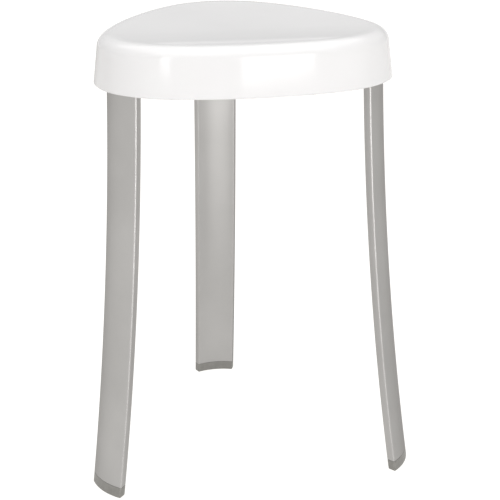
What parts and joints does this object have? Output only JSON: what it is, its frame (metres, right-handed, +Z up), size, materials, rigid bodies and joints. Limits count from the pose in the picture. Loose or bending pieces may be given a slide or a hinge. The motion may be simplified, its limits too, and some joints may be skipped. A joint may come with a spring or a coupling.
{
  "type": "shower stool",
  "caption": "Low bathroom stool with a moulded rounded-triangle seat on curved, arched metal legs that splay outwards to flush grey foot caps.",
  "frame": {"origin": "middle of the stool's overall box, at floor level", "axes": "+Z up, +Y towards the back leg, +X to the right when seen from the front (the straight side of the seat between the two front legs)"},
  "size_m": [0.3308, 0.309, 0.45],
  "materials": {
    "white_plastic": "white injection-moulded polypropylene with a soft gloss",
    "satin_aluminium": "satin silver-grey anodised extrusion",
    "grey_rubber": "mid-grey non-slip moulding, matt",
    "black_nylon": "black moulded nylon, hidden in the leg",
    "stainless_steel": "plain stainless fasteners"
  },
  "bodies": {
    "root": {"seat_shell": "white_plastic", "back_leg": "satin_aluminium", "back_foot_cap": "grey_rubber", "back_leg_insert": "black_nylon", "left_leg": "satin_aluminium", "left_foot_cap": "grey_rubber", "left_leg_insert": "black_nylon", "right_leg": "satin_aluminium", "right_foot_cap": "grey_rubber", "right_leg_insert": "black_nylon", "back_screw_a": "stainless_steel", "back_screw_b": "stainless_steel", "back_washer_a": "stainless_steel", "back_washer_b": "stainless_steel", "back_nut_a": "stainless_steel", "back_nut_b": "stainless_steel", "left_screw_a": "stainless_steel", "left_screw_b": "stainless_steel", "left_washer_a": "stainless_steel", "left_washer_b": "stainless_steel", "left_nut_a": "stainless_steel", "left_nut_b": "stainless_steel", "right_screw_a": "stainless_steel", "right_screw_b": "stainless_steel", "right_washer_a": "stainless_steel", "right_washer_b": "stainless_steel", "right_nut_a": "stainless_steel", "right_nut_b": "stainless_steel"}
  },
  "joints": []
}
